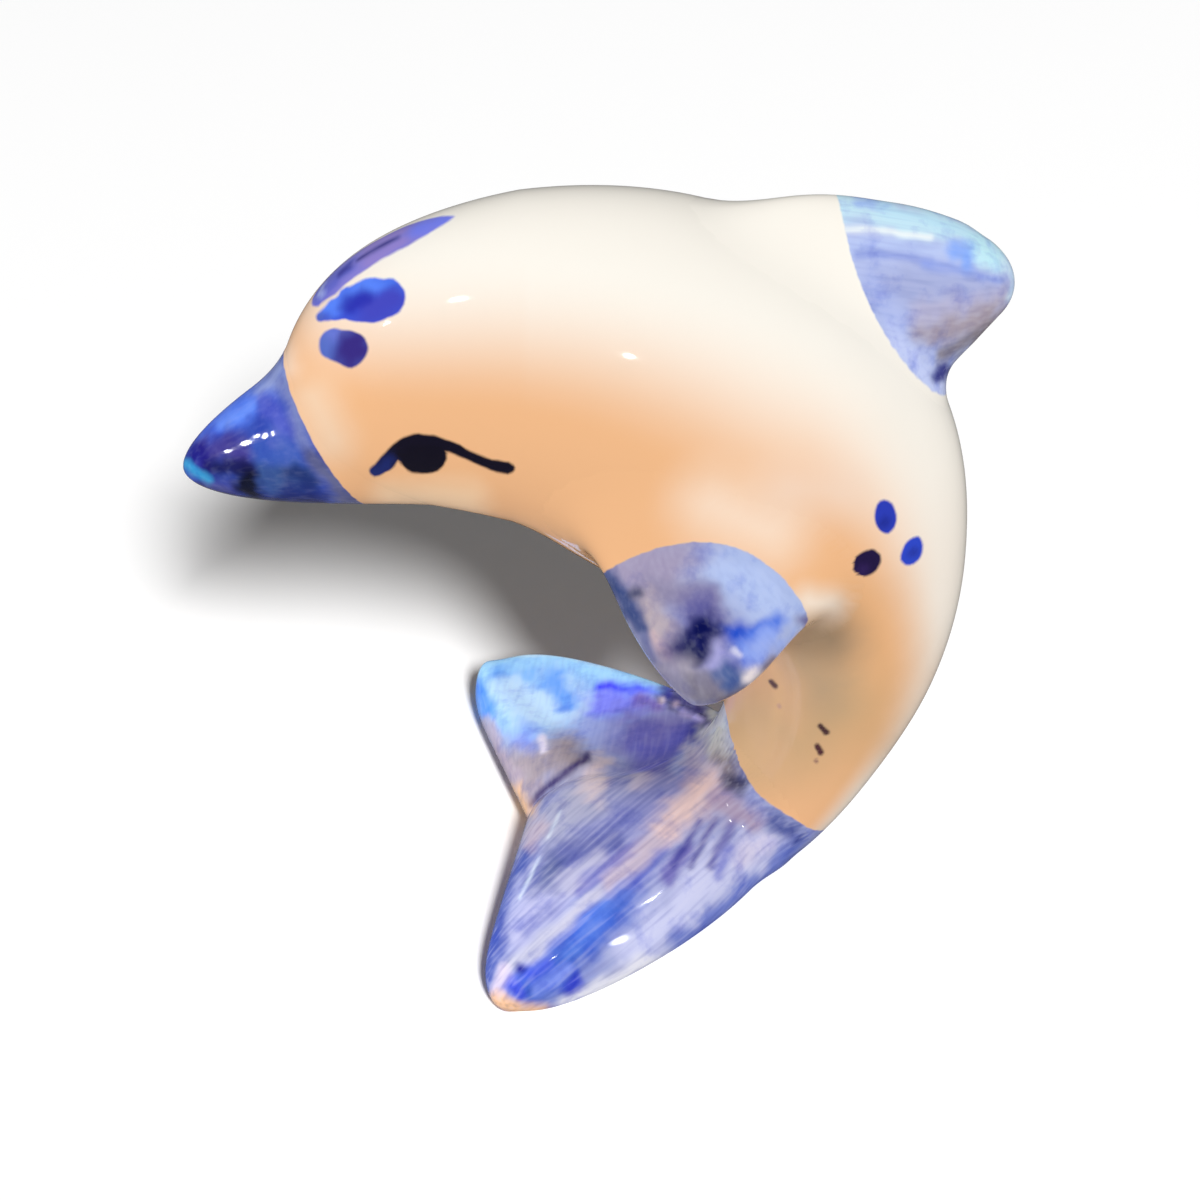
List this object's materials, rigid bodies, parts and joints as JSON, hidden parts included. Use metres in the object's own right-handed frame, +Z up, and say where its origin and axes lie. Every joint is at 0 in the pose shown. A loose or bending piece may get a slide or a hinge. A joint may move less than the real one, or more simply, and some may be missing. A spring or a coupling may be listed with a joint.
{
  "type": "dolphin figurine",
  "caption": "Small glazed earthenware dolphin curled in a leap and standing on its spread flukes, cream with cobalt washes on beak, fins and tail; a shelf ornament.",
  "frame": {"origin": "on the surface that the figurine stands on, under the middle of its box", "axes": "+Z up, beak towards -X, the dolphin's left side towards -Y"},
  "size_m": [0.0666, 0.0492, 0.0605],
  "materials": {
    "cream_glaze": "gloss clear glaze over cream earthenware",
    "beak_cobalt": "strong brushed cobalt under gloss glaze",
    "dorsal_wash": "thin cobalt wash under gloss glaze",
    "flipper_wash": "grey-blue cobalt wash under gloss glaze",
    "fluke_wash": "streaked cobalt wash under gloss glaze"
  },
  "bodies": {
    "root": {"body_casting": "cream_glaze", "beak": "beak_cobalt", "dorsal_fin": "dorsal_wash", "left_flipper": "flipper_wash", "right_flipper": "flipper_wash", "left_fluke": "fluke_wash", "right_fluke": "fluke_wash"}
  },
  "joints": []
}
